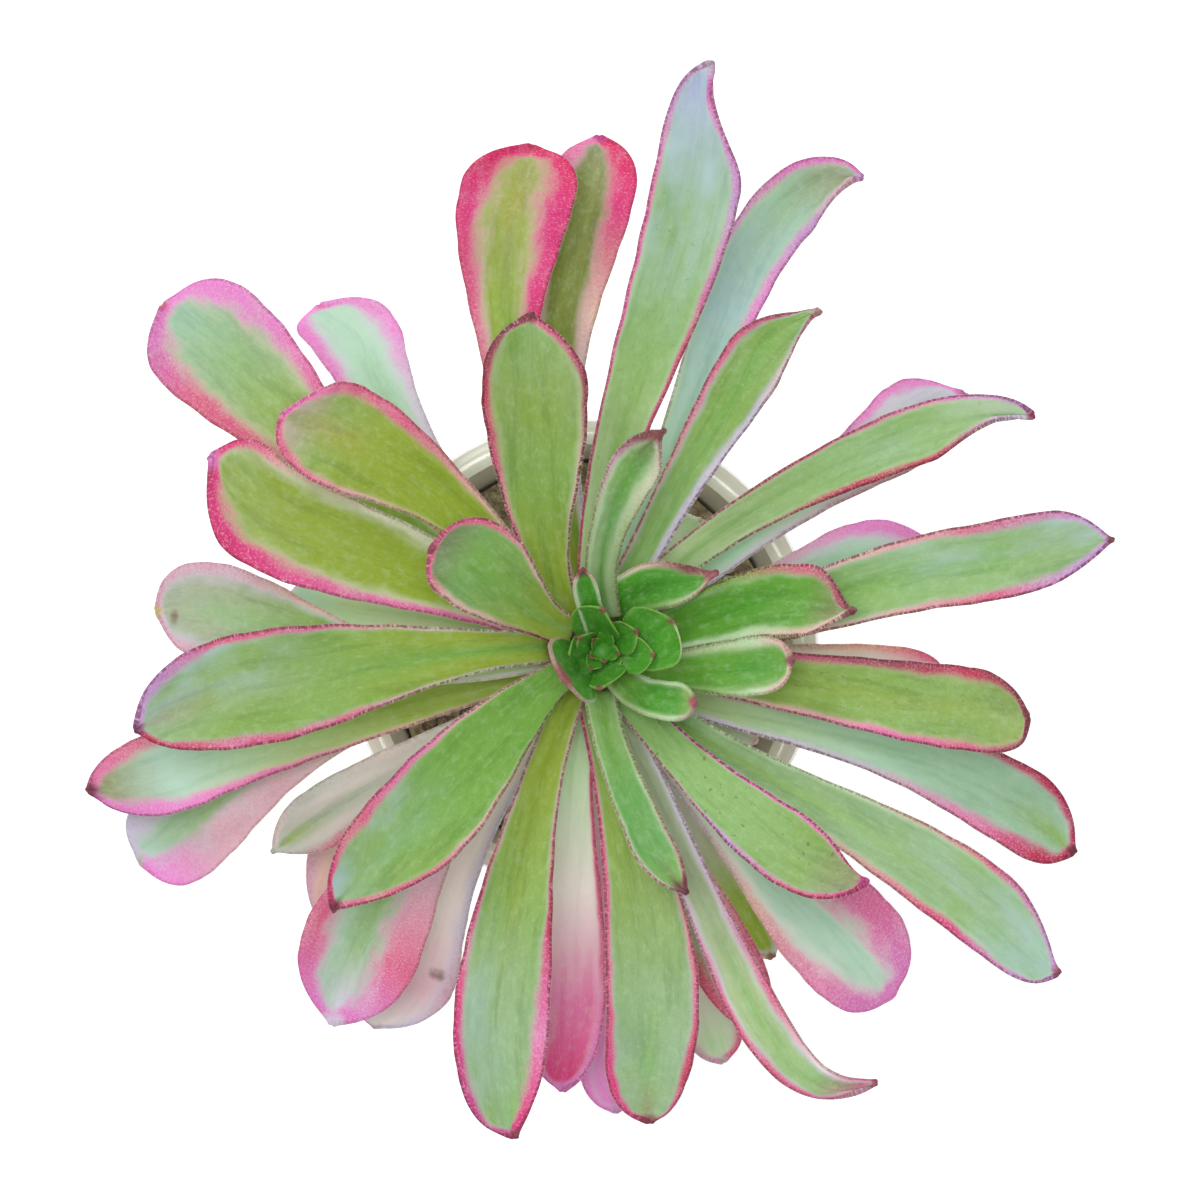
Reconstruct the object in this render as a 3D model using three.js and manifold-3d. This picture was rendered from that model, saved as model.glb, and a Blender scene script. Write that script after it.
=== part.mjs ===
// A potted variegated aeonium: one loose rosette of spoon-shaped leaves on a short woody stem,
// standing in gritty soil in a plain round pot.
// Millimetres, +Z up. The origin is the middle of the pot's flat underside.
// Angles are degrees, counted from +X towards +Y, seen from above.
import * as THREE from 'three';
import { mergeVertices } from 'three/addons/utils/BufferGeometryUtils.js';
import Module from 'manifold-3d';

const wasm = await Module();
wasm.setup();

// Pot
const potHeight = 54;
const potRimRadius = 28;
const potRimHeight = 9;
const potRimStep = 1.6;
const potFootRadius = 19.5;
const potWall = 2.8;
const potFloor = 4;
const potSides = 40;
const drainHoleRadius = 2.4;
const drainHoleRing = 9;
const drainHoleCount = 3;

// Soil
const soilTop = 47;
const seatGap = 0.3;
const soilRings = 6;
const soilGrain = 0.7;
const stemHoleDepth = 20;

// Stem
const stemRadius = 5;
const stemTipRadius = 3.2;
const stemFoot = soilTop - stemHoleDepth + seatGap;
const stemSides = 18;
const stemRings = 20;
const scarRelief = 0.22;

// Leaf roots climb the stem, the oldest lowest.
const oldestRoot = 66;
const rootStep = 0.56;
const youngRootStep = 0.5;
const youngRootFade = 5;
const youngLeaves = 9;

// The top of the stem leans a little, and the heart bud with it.
const leanX = 2.2;
const leanY = 0.4;

// Blade of a leaf
const rootWidth = 3.8;
const bladeMiddle = 1.7;
const youngBladeMiddle = 1.3;
const bladeEdge = 0.64;
const tipWidth = 0.5;
const channelDepth = 0.13;
const waveHeight = 0.35;
const waveLength = 17;
const cantStart = 0.7;
const stations = [0, 0.14, 0.3, 0.46, 0.62, 0.76, 0.86, 0.93, 0.975, 1];
const lanes = [-1, -0.5, 0, 0.5, 1];

// Leaves from the youngest to the oldest, one row each, in these words. root is where the leaf
// leaves the stem, turn how far its first stretch swings from there, tip and reach where it ends,
// aim the way its tip points, hook how sharply it bends there. width is its widest place in mm,
// broad how far along that is, slim how late it widens, blunt the roundness of its end, skew how
// much rounder its left side ends than its right, and cant sets the tip to the left (+) or right
// (-). rise is the slope at the stem, bend how much of that slope is lost by the tip.
const leafWords = [
  'root', 'turn', 'tip', 'reach', 'aim', 'hook', 'width', 'broad', 'slim', 'blunt', 'skew', 'cant',
  'rise', 'bend',
];
const leafTable = [
  [311, -13, 332, 12.4, 357, 0, 4.6, 0.76, 1.2, 0.7, 0, 0, 50, 34],
  [144, 16, 145, 22.8, 157, 0, 10.9, 0.72, 1.2, 1, 0, 0.25, 48, 30],
  [77, 28, 76, 26.6, 66, 0.15, 5.9, 0.8, 2.6, 0.1, 0.4, -0.4, 56, 26],
  [212, 3, 222, 41.7, 208, 0, 11.9, 0.62, 0.7, 0.6, -0.65, 0.3, 34, 20],
  [276, 0, 287, 29.2, 287, 0, 4.9, 0.79, 1.6, 0.3, -0.25, 0.75, 46, 26],
  [342, 9, 357, 22.7, 4, 0, 6.8, 0.78, 1.3, 0.95, 0, 0.1, 44, 28],
  [61, 23, 29, 15.7, 350, 0, 5.6, 0.6, 0.5, 0, -0.05, 0.6, 50, 34],
  [128, -11, 102.5, 39.4, 108, 0, 12.4, 0.78, 1.1, 0.75, 0.8, -0.25, 37, 22],
  [239, 10, 258, 56.6, 266, 0, 11.2, 0.76, 1.2, 0.85, -0.8, 0.5, 24, 17],
  [306, 5, 318.5, 41.3, 333, 0.4, 8.6, 0.71, 1.1, 0.2, -0.4, 0.3, 33, 20],
  [19, -8, 7.5, 29.5, 319, 0, 8.6, 0.8, 0.6, 0, -0.35, 0.35, 38, 24],
  [89, 2, 79, 69.1, 93, 0, 10.5, 0.8, 1.1, 0.3, 0.8, -0.1, 24, 13],
  [130, -1, 140, 44.8, 131, 1.2, 12.5, 0.68, 1.1, 0.95, -0.5, 0.25, 28, 22],
  [171, 10, 186, 52.8, 181, 0.25, 13.3, 0.68, 0.9, 1, -0.75, 0.5, 23, 16],
  [291, 6, 302, 61.9, 359, 0.85, 6, 0.53, 2.6, 0.1, 0.35, 1, 20, 16],
  [349, 5, 353, 50.9, 6, 0.9, 9.8, 0.76, 0.5, 1.1, -0.4, -0.2, 21, 15],
  [61, 2, 60.5, 47.4, 64, 1.05, 7.6, 0.63, 1.1, 0.05, 0.15, -0.95, 24, 15],
  [153, -8, 155, 49.9, 140, 0, 12.8, 0.84, 0.6, 0.4, -0.45, -0.35, 20, 16],
  [274, 13, 276.5, 54.4, 264, 1.2, 10.9, 0.5, 0.7, 1.05, -0.5, 0.2, 17, 14],
  [317, 5, 325.5, 65.8, 311, 0, 9.6, 0.8, 1.8, 0.7, -0.8, 0.1, 15, 14],
  [15, -12, 8.5, 60.1, 341, 0, 9.5, 0.87, 0.6, 0.1, -0.15, 1, 16, 13],
  [114, -5, 97.5, 59.5, 85, 0.95, 13.5, 0.83, 1.8, 0.9, 0, -0.2, 17, 13],
  [232, -11, 235, 52.3, 249, 0.4, 14.1, 0.77, 1.5, 0.3, 0, 0.05, 13, 14],
  [179, 15, 174, 50.4, 191, 0.6, 11.3, 0.82, 1.4, 0.7, 0, 0.05, 10, 12],
  [286, 0, 295, 47.7, 297, 0, 8.2, 0.77, 1.2, 0.8, 0, 0, 9, 12],
  [333, 1, 337, 60.9, 308, 0, 9.7, 0.85, 2.6, 0.75, -0.7, 0.25, 9, 12],
  [49, -3, 31, 59.4, 23, 0.2, 7.1, 0.76, 1.5, 0.3, 0.8, -0.85, 12, 12],
  [88, 16, 88.5, 60.3, 89, 0.85, 10, 0.85, 1.3, 0.55, 0, 0, 11, 12],
  [217, -1, 213, 43.2, 223, 0.25, 7.5, 0.8, 1.1, 0.1, 0, -0.15, 5, 12],
  [309, 0, 313, 53.8, 315, 0.6, 13.6, 0.76, 1.6, 0.8, 0, -0.15, 6, 12],
  [264, 0, 267, 51, 269, 0, 10, 0.73, 1.3, 0.6, 0, 0, 8, 12],
  [147, -1, 140, 64, 142, 0.55, 15.1, 0.84, 1.7, 0.7, 0, 0.05, 8, 12],
  [66, -5, 59.5, 63.7, 354, 0.55, 8.1, 0.77, 0.9, 0.2, 0.3, 0.25, 8, 12],
  [193, 2, 198.5, 59, 219, 0.65, 10.1, 0.79, 0.5, 0.65, 0.45, -0.7, 7, 12],
  [332, 0, 333, 22.5, 334, 0, 5.1, 0.77, 1.2, 0.8, 0, 0, 6, 10],
  [238, -3, 245, 49.4, 255, 1, 9, 0.75, 1.4, 0.75, 0, -0.85, 3, 12],
  [28, 11, 37, 53.2, 57, 1.05, 10.4, 0.83, 1.8, 0.8, 0, -0.5, 4, 12],
  [290, 0, 289, 50.6, 287, 0, 8.8, 0.77, 1.2, 0.85, 0, 0, 2, 12],
  [144, 0, 145, 32, 148, 0, 7, 0.77, 1.2, 0.8, 0, 0, 3, 10],
  [197, -6, 205.5, 57.6, 216, 0.9, 11.9, 0.83, 1.5, 0.85, 0, -0.1, 2, 12],
  [355, 0, 356.5, 42.5, 358, 0, 6.9, 0.77, 1.2, 0.9, 0, 0, 2, 12],
  [53, 0, 49, 20.9, 46, 0, 5.8, 0.77, 1.2, 0.8, 0, 0, 2, 10],
  [272, 0, 274, 54.1, 272, 0, 9.4, 0.77, 1.2, 0.85, 0, 0, 1, 12],
  [164, 0, 169, 35.3, 170, 0, 6.7, 0.77, 1.2, 0.8, 0, 0, 1, 10],
  [226, -4, 222.5, 44.7, 226, 0.05, 11.9, 0.75, 1.2, 0.4, 0, 0.45, -1, 12],
  [12, 3, 18.5, 43.7, 25, 0.2, 11.2, 0.75, 1.2, 0.7, 0, -0.55, -1, 12],
  [295, 0, 302, 42.1, 298, 0, 7.8, 0.75, 1.2, 0.5, 0, 0, -2, 12],
  [132, 0, 124, 51, 114, 1.1, 10.7, 0.85, 1.7, 0.7, 0, 0.55, -2, 12],
];

// Unopened leaves of the heart bud, in the same words, measured from the bud's own middle.
const budTable = [
  [28, 0, 28, 8.8, 28, 0, 7.6, 0.77, 1.2, 0.8, 0, 0, 46, 30],
  [104, 0, 101, 9.6, 80, 0, 4.4, 0.74, 1.2, 0.4, 0, 0, 60, 20],
  [225, 0, 228, 6, 250, 0, 7.6, 0.77, 1.2, 0.8, 0, 0, 68, 16],
  [300, 0, 303, 5.6, 330, 0, 5, 0.75, 1.2, 0.5, 0, 0, 54, 30],
  [60, 0, 58, 6.2, 50, 0, 4.4, 0.76, 1.2, 0.7, 0, 0, 62, 24],
  [350, 0, 0, 6.4, 5, 0, 5, 0.76, 1.2, 0.7, 0, 0, 56, 26],
  [150, 0, 150, 4.2, 130, 0, 4.6, 0.76, 1.2, 0.7, 0, 0, 70, 20],
  [30, 0, 27, 4.9, 20, 0, 4.2, 0.76, 1.2, 0.6, 0, 0, 66, 24],
  [262, 0, 265, 3.6, 280, 0, 4, 0.77, 1.2, 0.8, 0, 0, 70, 20],
];
const budCoreRadius = 2.5;
const budRootRing = 0.8;
const budRootWidth = 2.4;
const budBlade = 0.9;

const look = {
  pot: { color: 0xe9e4da, roughness: 0.35, metalness: 0 },
  soil: { color: 0xb9a98f, roughness: 0.95, metalness: 0 },
  stem: { color: 0x8b7355, roughness: 0.85, metalness: 0 },
  bud: { color: 0x4d9a3a, roughness: 0.5, metalness: 0 },
  young: { color: 0x6fb04a, roughness: 0.5, metalness: 0 },
  old: { color: 0xb7a97c, roughness: 0.55, metalness: 0 },
};

const radians = THREE.MathUtils.degToRad;

function named(row) {
  return Object.fromEntries(leafWords.map((word, place) => [word, row[place]]));
}

const leaves = leafTable.map(named);
const budLeaves = budTable.map(named);

function direction(angle) {
  return new THREE.Vector2(Math.cos(radians(angle)), Math.sin(radians(angle)));
}

function smooth(t) {
  const k = THREE.MathUtils.clamp(t, 0, 1);
  return k * k * (3 - 2 * k);
}

function mesh(name, geometry, finish) {
  const solid = new THREE.Mesh(geometry, new THREE.MeshStandardMaterial(finish));
  solid.name = name;
  return solid;
}

function toSolid(geometry) {
  let plain = geometry.clone();
  plain.deleteAttribute('normal');
  plain.deleteAttribute('uv');
  plain = mergeVertices(plain, 1e-4);
  const vertProperties = new Float32Array(plain.attributes.position.array);
  const triVerts = new Uint32Array(plain.index.array);
  return new wasm.Manifold(new wasm.Mesh({ numProp: 3, vertProperties, triVerts }));
}

function toGeometry(solid) {
  const result = solid.getMesh();
  const geometry = new THREE.BufferGeometry();
  geometry.setAttribute('position', new THREE.BufferAttribute(result.vertProperties, 3));
  geometry.setIndex(new THREE.BufferAttribute(result.triVerts, 1));
  return geometry;
}

// Height on the stem where each leaf leaves it, closest together low down.
function rootHeights() {
  const below = [0];
  for (let rank = 1; rank < leaves.length; rank += 1) {
    const step = rootStep + youngRootStep * Math.exp(-rank / youngRootFade);
    below.push(below[rank - 1] + step);
  }
  const top = oldestRoot + below[below.length - 1];
  return below.map((depth) => top - depth);
}

const heights = rootHeights();
const stemTop = heights[0] + 1.6;

// The stem's own middle line, upright low down and leaning near the top.
function stemMiddle(height) {
  const t = Math.max(0, (height - oldestRoot) / (stemTop - oldestRoot));
  return new THREE.Vector2(leanX * t * t, leanY * t * t);
}

function stemRadiusAt(height) {
  const t = (stemTop - height) / (stemTop - heights[youngLeaves]);
  return THREE.MathUtils.lerp(stemTipRadius, stemRadius, smooth(t));
}

// Midrib seen from above: a smooth curve from the stem to the tip.
function midribPlan(leaf, ring) {
  const start = direction(leaf.root).multiplyScalar(ring);
  const end = direction(leaf.tip).multiplyScalar(leaf.reach);
  const span = start.distanceTo(end);
  const first = direction(leaf.root + leaf.turn).multiplyScalar((0.35 + 0.3 * leaf.hook) * span);
  const last = direction(leaf.aim).multiplyScalar((0.15 * leaf.hook - 0.35) * span);
  const out = first.add(start);
  const back = last.add(end);
  return new THREE.CubicBezierCurve(start, out, back, end);
}

// Height above the root at a distance from the stem: steep at first, flatter towards the tip.
function midribLift(leaf, distance, span) {
  const first = Math.tan(radians(leaf.rise));
  const last = Math.tan(radians(leaf.rise - leaf.bend));
  return distance * first + ((last - first) * distance * distance) / (2 * span);
}

function halfWidth(leaf, along, narrow, roundness) {
  const share = Math.pow(smooth(along / leaf.broad), leaf.slim);
  const widening = narrow + (leaf.width - narrow) * share;
  const past = Math.max(0, (along - leaf.broad) / (1 - leaf.broad));
  const closing = Math.pow(1 - Math.pow(past, 2 + roundness), 1 / (1 + 1.3 * roundness));
  return Math.max(tipWidth, widening * closing) / 2;
}

function midribPoint(leaf, plan, ring, along) {
  const flat = plan.getPoint(along);
  const distance = flat.length() - ring;
  return new THREE.Vector3(flat.x, flat.y, midribLift(leaf, distance, leaf.reach - ring));
}

function moveToRing(point, ring) {
  const factor = ring / Math.hypot(point.x, point.y);
  point.x *= factor;
  point.y *= factor;
}

// One leaf blade as a closed solid. shape holds its root's ring radius, root width, thickness,
// wave and the phase of that wave.
function bladeGeometry(leaf, shape) {
  const plan = midribPlan(leaf, shape.ring);
  const length = plan.getLength();
  const upper = [];
  const lower = [];
  for (const along of stations) {
    const middle = midribPoint(leaf, plan, shape.ring, along);
    const before = midribPoint(leaf, plan, shape.ring, Math.max(0, along - 0.02));
    const after = midribPoint(leaf, plan, shape.ring, Math.min(1, along + 0.02));
    const forward = after.sub(before).normalize();
    const side = new THREE.Vector3(-forward.y, forward.x, 0).normalize();
    const up = new THREE.Vector3().crossVectors(forward, side).normalize();
    const left = halfWidth(leaf, along, shape.narrow, leaf.blunt + leaf.skew);
    const right = halfWidth(leaf, along, shape.narrow, leaf.blunt - leaf.skew);
    const taper = 1 - 0.35 * along * along;
    const swing = (2 * Math.PI * along * length) / waveLength + shape.phase;
    const ripple = waveHeight * shape.wave * Math.sin(swing);
    const nearTip = Math.max(0, (along - cantStart) / (1 - cantStart));
    const shift = 0.5 * leaf.cant * leaf.width * nearTip * nearTip;
    for (const lane of lanes) {
      const half = lane > 0 ? left : right;
      const channel = channelDepth * half * 2 * lane * lane;
      const rise = channel + ripple * Math.abs(lane) * lane * smooth(along * 2);
      const thickness = bladeEdge + (shape.middle * taper - bladeEdge) * (1 - lane * lane);
      const point = middle.clone().addScaledVector(side, lane * half + shift).addScaledVector(up, rise);
      const top = point.clone().addScaledVector(up, thickness / 2);
      const bottom = point.clone().addScaledVector(up, -thickness / 2);
      if (along === 0 && shape.hugsStem) {
        moveToRing(top, shape.ring);
        moveToRing(bottom, shape.ring);
      }
      upper.push(top);
      lower.push(bottom);
    }
  }
  return closedBlade(upper, lower);
}

// Joins the two faces of a blade, split alike, by a strip round the edge.
function closedBlade(upper, lower) {
  const across = lanes.length;
  const count = upper.length;
  const index = [];
  const quad = (a, b, c, d) => index.push(a, b, c, a, c, d);
  for (let row = 0; row + 1 < stations.length; row += 1) {
    for (let lane = 0; lane + 1 < across; lane += 1) {
      const a = row * across + lane;
      const b = a + across;
      index.push(a, b, b + 1, a, b + 1, a + 1);
      index.push(count + a, count + b + 1, count + b, count + a, count + a + 1, count + b + 1);
    }
    const right = row * across;
    const left = right + across - 1;
    quad(right, count + right, count + right + across, right + across);
    quad(left, left + across, count + left + across, count + left);
  }
  const last = (stations.length - 1) * across;
  for (let lane = 0; lane + 1 < across; lane += 1) {
    quad(lane, lane + 1, count + lane + 1, count + lane);
    quad(last + lane, count + last + lane, count + last + lane + 1, last + lane + 1);
  }
  return indexedGeometry([...upper, ...lower], index);
}

function leafMesh(leaf, rank) {
  const youth = Math.max(0, 1 - rank / youngLeaves);
  const ring = stemRadiusAt(heights[rank] - bladeMiddle) + seatGap;
  const shape = {
    ring,
    narrow: rootWidth,
    middle: THREE.MathUtils.lerp(bladeMiddle, youngBladeMiddle, youth),
    wave: 1 - youth,
    phase: rank * 2.4,
    hugsStem: true,
  };
  const middle = stemMiddle(heights[rank]);
  const geometry = bladeGeometry(leaf, shape);
  const age = rank / (leaves.length - 1);
  const finish = { ...look.young };
  finish.color = new THREE.Color(look.young.color).lerp(new THREE.Color(look.old.color), age);
  const solid = mesh(`leaf_${String(rank + 1).padStart(2, '0')}`, geometry, finish);
  solid.position.set(middle.x, middle.y, heights[rank]);
  return solid;
}

function budMesh() {
  const seat = stemTop + seatGap;
  const core = new THREE.SphereGeometry(budCoreRadius, 16, 10);
  core.translate(0, 0, budCoreRadius * 0.8);
  let solid = toSolid(core);
  budLeaves.forEach((leaf, number) => {
    const shape = {
      ring: budRootRing,
      narrow: budRootWidth,
      middle: budBlade,
      wave: 0,
      phase: number,
      hugsStem: false,
    };
    const blade = bladeGeometry(leaf, shape);
    blade.translate(0, 0, budCoreRadius * 0.5);
    solid = solid.add(toSolid(blade));
  });
  const flatFoot = new THREE.BoxGeometry(60, 60, 20);
  flatFoot.translate(0, 0, -10);
  solid = solid.subtract(toSolid(flatFoot));
  const bud = mesh('heart_bud', toGeometry(solid), look.bud);
  const middle = stemMiddle(stemTop);
  bud.position.set(middle.x, middle.y, seat);
  return bud;
}

// A skin of rings round a middle line, closed at both ends.
function ringedSolid(rings) {
  const sides = rings[0].length;
  const points = rings.flat();
  const index = [];
  for (let row = 0; row + 1 < rings.length; row += 1) {
    for (let side = 0; side < sides; side += 1) {
      const a = row * sides + side;
      const b = row * sides + ((side + 1) % sides);
      index.push(a, b, b + sides, a, b + sides, a + sides);
    }
  }
  const bottom = points.length;
  points.push(centre(rings[0]));
  points.push(centre(rings[rings.length - 1]));
  const last = (rings.length - 1) * sides;
  for (let side = 0; side < sides; side += 1) {
    const next = (side + 1) % sides;
    index.push(bottom, next, side);
    index.push(bottom + 1, last + side, last + next);
  }
  return indexedGeometry(points, index);
}

function indexedGeometry(points, index) {
  const positions = points.flatMap((point) => point.toArray());
  const geometry = new THREE.BufferGeometry();
  geometry.setAttribute('position', new THREE.Float32BufferAttribute(positions, 3));
  geometry.setIndex(index);
  return geometry;
}

function centre(ring) {
  const middle = new THREE.Vector3();
  ring.forEach((point) => middle.add(point));
  return middle.divideScalar(ring.length);
}

// Old leaf scars stand as low lozenges on the bare stretch; the part in the soil is plain.
function stemMesh() {
  const rings = [];
  for (let row = 0; row <= stemRings; row += 1) {
    const height = THREE.MathUtils.lerp(stemFoot, stemTop, row / stemRings);
    const middle = stemMiddle(height);
    const bare = height > soilTop + 2 && height < oldestRoot - 3;
    const ring = [];
    for (let side = 0; side < stemSides; side += 1) {
      const angle = (2 * Math.PI * side) / stemSides;
      const scar = bare ? scarRelief * Math.cos(3 * angle + row * 1.9) : 0;
      const radius = stemRadiusAt(height) - Math.abs(scar);
      const x = middle.x + radius * Math.cos(angle);
      const y = middle.y + radius * Math.sin(angle);
      ring.push(new THREE.Vector3(x, y, height));
    }
    rings.push(ring);
  }
  return mesh('stem', ringedSolid(rings), look.stem);
}

function potInnerRadius(height) {
  return potOuterRadius(height) - potWall;
}

function potOuterRadius(height) {
  const waist = potRimRadius - potRimStep - 0.6;
  return THREE.MathUtils.lerp(potFootRadius, waist, height / (potHeight - potRimHeight));
}

function soilHeight(distance, angle) {
  const coarse = Math.sin(distance * 1.7 + angle * 5) * Math.cos(angle * 9 - distance * 0.6);
  const fine = Math.sin(distance * 3.1 - angle * 13);
  return soilTop + soilGrain * (0.6 * coarse + 0.4 * fine);
}

// The soil fills the pot and keeps a plain round hole for the stem.
function soilMesh() {
  const rimGap = potInnerRadius(soilTop) - seatGap;
  const holeRadius = stemRadius + seatGap;
  const floor = potFloor + seatGap;
  const rings = [];
  const ringAt = (radius, heightAt) => {
    const ring = [];
    for (let sector = 0; sector < potSides; sector += 1) {
      const angle = (2 * Math.PI * sector) / potSides;
      const x = radius * Math.cos(angle);
      const y = radius * Math.sin(angle);
      ring.push(new THREE.Vector3(x, y, heightAt(radius, angle)));
    }
    return ring;
  };
  rings.push(ringAt(potInnerRadius(floor) - seatGap, () => floor));
  rings.push(ringAt(rimGap - 0.1, () => soilTop - 1.5));
  for (let step = 0; step <= soilRings; step += 1) {
    const radius = THREE.MathUtils.lerp(rimGap - 0.2, holeRadius, step / soilRings);
    rings.push(ringAt(radius, soilHeight));
  }
  rings.push(ringAt(holeRadius, () => soilTop - stemHoleDepth));
  return mesh('soil', ringedSolid(rings), look.soil);
}

function potMesh() {
  const rimBottom = potHeight - potRimHeight;
  const inner = potRimRadius - potWall - 0.4;
  const profile = [
    [0, 0],
    [potFootRadius - 0.8, 0],
    [potFootRadius, 0.8],
    [potOuterRadius(rimBottom), rimBottom - 0.6],
    [potRimRadius - 0.7, rimBottom],
    [potRimRadius, rimBottom + 0.8],
    [potRimRadius, potHeight - 1.2],
    [potRimRadius - 0.5, potHeight - 0.3],
    [potRimRadius - 1.3, potHeight],
    [inner + 0.5, potHeight],
    [inner, potHeight - 0.6],
    [potInnerRadius(rimBottom + 2), rimBottom + 2],
    [potInnerRadius(potFloor), potFloor],
    [0, potFloor],
  ];
  const points = profile.map(([radius, height]) => new THREE.Vector2(radius, height));
  const turned = new THREE.LatheGeometry(points, potSides);
  turned.rotateX(Math.PI / 2);
  let solid = toSolid(turned);
  for (let number = 0; number < drainHoleCount; number += 1) {
    const angle = (2 * Math.PI * number) / drainHoleCount;
    const drill = new THREE.CylinderGeometry(drainHoleRadius, drainHoleRadius, potFloor * 3, 16);
    drill.rotateX(Math.PI / 2);
    drill.translate(drainHoleRing * Math.cos(angle), drainHoleRing * Math.sin(angle), 0);
    solid = solid.subtract(toSolid(drill));
  }
  return mesh('pot', toGeometry(solid), look.pot);
}

const group = new THREE.Group();
group.add(potMesh(), soilMesh(), stemMesh(), budMesh());
leaves.forEach((leaf, rank) => group.add(leafMesh(leaf, rank)));

export default group;
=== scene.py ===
import math
import random
from collections import namedtuple

import bmesh
import bpy
import numpy as np
from mathutils import Matrix, Vector


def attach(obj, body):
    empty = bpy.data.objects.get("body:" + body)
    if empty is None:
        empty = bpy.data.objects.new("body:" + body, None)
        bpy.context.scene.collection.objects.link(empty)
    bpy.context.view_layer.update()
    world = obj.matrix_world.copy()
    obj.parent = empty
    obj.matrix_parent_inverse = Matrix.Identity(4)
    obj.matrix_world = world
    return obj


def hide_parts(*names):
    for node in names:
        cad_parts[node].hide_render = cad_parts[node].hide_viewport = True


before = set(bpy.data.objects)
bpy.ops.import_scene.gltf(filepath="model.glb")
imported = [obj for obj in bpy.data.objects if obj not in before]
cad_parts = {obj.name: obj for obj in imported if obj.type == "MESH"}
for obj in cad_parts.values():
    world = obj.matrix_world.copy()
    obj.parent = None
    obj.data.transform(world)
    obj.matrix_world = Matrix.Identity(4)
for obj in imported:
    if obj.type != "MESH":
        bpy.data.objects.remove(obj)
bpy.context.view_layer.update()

MM = 0.001
FULL_TURN = 6.28

# Pot, soil and stem, as in the solids, in mm
POT_HEIGHT = 54
POT_RIM_RADIUS = 28
POT_RIM_HEIGHT = 9
POT_RIM_STEP = 1.6
POT_WAIST_STEP = 0.6
POT_FOOT_RADIUS = 19.5
POT_WALL = 2.8
POT_FLOOR = 4
POT_SIDES = 96
DRAIN_HOLE_RADIUS = 2.4
DRAIN_HOLE_RING = 9
DRAIN_HOLE_COUNT = 3
SOIL_TOP = 47
STEM_RADIUS = 5
STEM_TIP_RADIUS = 3.2
STEM_END = 1.6
STEM_HOLE_DEPTH = 20
SEAT_GAP = 0.3

# Where the leaves leave the stem, and how many of them count as young
OLDEST_ROOT = 66
ROOT_STEP = 0.56
YOUNG_ROOT_STEP = 0.5
YOUNG_ROOT_FADE = 5
YOUNG_LEAVES = 9
ROOT_SUNK = 0.2
LEAN = (2.2, 0.4)

# How far along a leaf's span its midrib is steered, and what a hook adds at the root and the tip.
# The midrib is measured in steps, and its direction between places near by.
ARM = 0.35
HOOK_OUT = 0.3
HOOK_BACK = 0.15
LENGTH_STEPS = 24
NEAR = 0.02

# Blade of a leaf. Its rows crowd towards the tip.
ROOT_WIDTH = 3.8
BLADE_MIDDLE = 1.7
YOUNG_BLADE_MIDDLE = 1.3
BLADE_EDGE = 0.5
BLADE_TAPER = 0.35
TIP_WIDTH = 0.5
TIP_POINT = 0.35
TIP_ROUNDING = 1.3
CANT_START = 0.7
CHANNEL_DEPTH = 0.13
WAVE_HEIGHT = 0.35
WAVE_LENGTH = 17
WAVE_TURN = 2.4
RIPPLE_HEIGHT = 0.1
RIPPLE_LENGTH = 5.3
GROOVE_DEPTH = 0.14
GROOVE_SHARE = 0.16
SPINE_SHARE = 0.3
END_BAND = 2.4
ROWS = 40
ROW_CROWDING = 1.6
LANES = 10

# Unevenness of the margins: shares of the half width, and waves in radians per mm
UNEVENNESS = ((0.016, 0.9), (0.014, 2.3))

# Hairs along the margins. They are off their places along it in steps and up it in mm, then off
# their way forward and up, and in length.
HAIR_LENGTH = 0.17
HAIR_WIDTH = 0.035
HAIR_SPACING = 0.24
HAIR_SUNK = 0.05
HAIR_START = 0.12
HAIR_SCATTER = ((-0.4, 0.4), (-0.12, 0.16), (-0.1, 0.6), (-0.3, 0.5), (0.6, 1.2))
SLOPE_STEP = 0.01

# The heart, with a count of its outer leaves and the number of the one that is flatter
HEART_CORE_RADIUS = 1.71
HEART_OUTER = 10
HEART_FLAT = 2
HEART_FLOOR = 1.25
HEART_SEED = 60

# Bark of the stem. It fades in above the soil and out below the leaves, and each of its wrinkles
# has a depth, waves round the stem and radians per mm up it.
STEM_SIDES = 48
STEM_RINGS = 110
BARK_END = OLDEST_ROOT + 4
BARK_FADE_IN = 3
BARK_FADE_OUT = 6
BARK_DEPTH = 0.1
SCAR_DEPTH = 0.16
SCAR_ROWS = 5
SCAR_PITCH = 0.31
SCAR_SLANT = (3, 2.1)
WRINKLES = ((0.08, 11, 0.7), (0.05, 2, 3.7))

# Grit on the soil. The spread is in shares of the squared distance from the middle.
GRAIN_COUNT = 760
GRAIN_SEED = 11
GRAIN_SIZES = (0.45, 1.15)
GRAIN_LIFTS = (0.15, 0.7)
GRAIN_DENT = 0.16
GRAIN_WIDTHS = (0.6, 1)
GRAIN_FLATNESS = 0.65
GRAIN_AXIS = Vector((0.3, 0.4, 1))
GRAIN_SPREAD = (0.07, 1)
GRAIN_SHADE = 0.72
GRAIN_TONES = ("b7a68c", "cfc4ae", "8d7b66", "d9d2c4", "6f5f50", "a98c6c")
GRIT_WALL_GAP = 1.4
GRIT_STEM_GAP = 1.2

# The camera looks straight down, as the photograph does.
SENSOR_WIDTH = 36
VIEW_WIDTH = 139.56
VIEW_MIDDLE = (1.977, 6.397, 88)
VIEW_DISTANCE = 1500


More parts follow.
